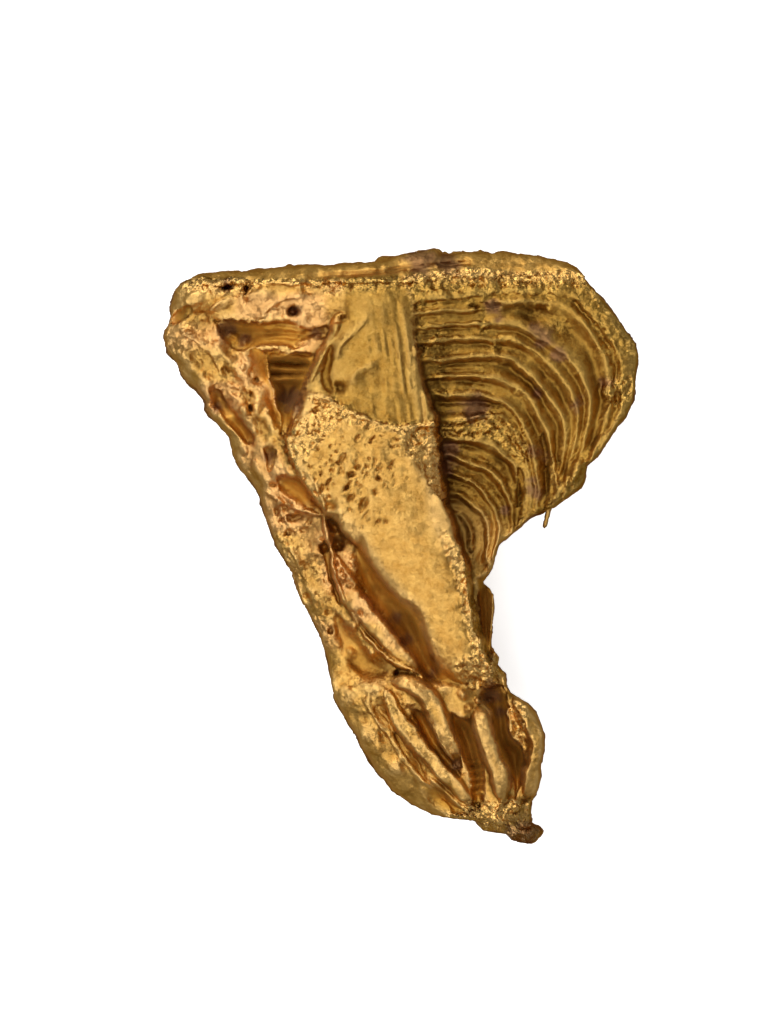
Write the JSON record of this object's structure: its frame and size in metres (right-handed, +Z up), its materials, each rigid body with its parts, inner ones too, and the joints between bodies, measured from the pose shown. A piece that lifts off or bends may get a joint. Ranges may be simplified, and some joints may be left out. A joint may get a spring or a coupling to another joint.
{
  "type": "native gold specimen",
  "caption": "Miniature native gold specimen, one skeletal crystal with a hoppered terraced face, a keel and a ribbed leg, lying on its back.",
  "frame": {"origin": "centre of the footprint of its bounding box, on the surface that it lies on", "axes": "+Y towards the broad end, away from the leg's tip; +Z up, out of the terraced face; +X towards the hoppered side"},
  "size_m": [0.0238, 0.0299, 0.0105],
  "materials": {
    "gold": "natural native gold, satin and finely granular, brighter on the worn crests and darker in the recesses"
  },
  "bodies": {
    "root": {"native_gold": "gold"}
  },
  "joints": []
}
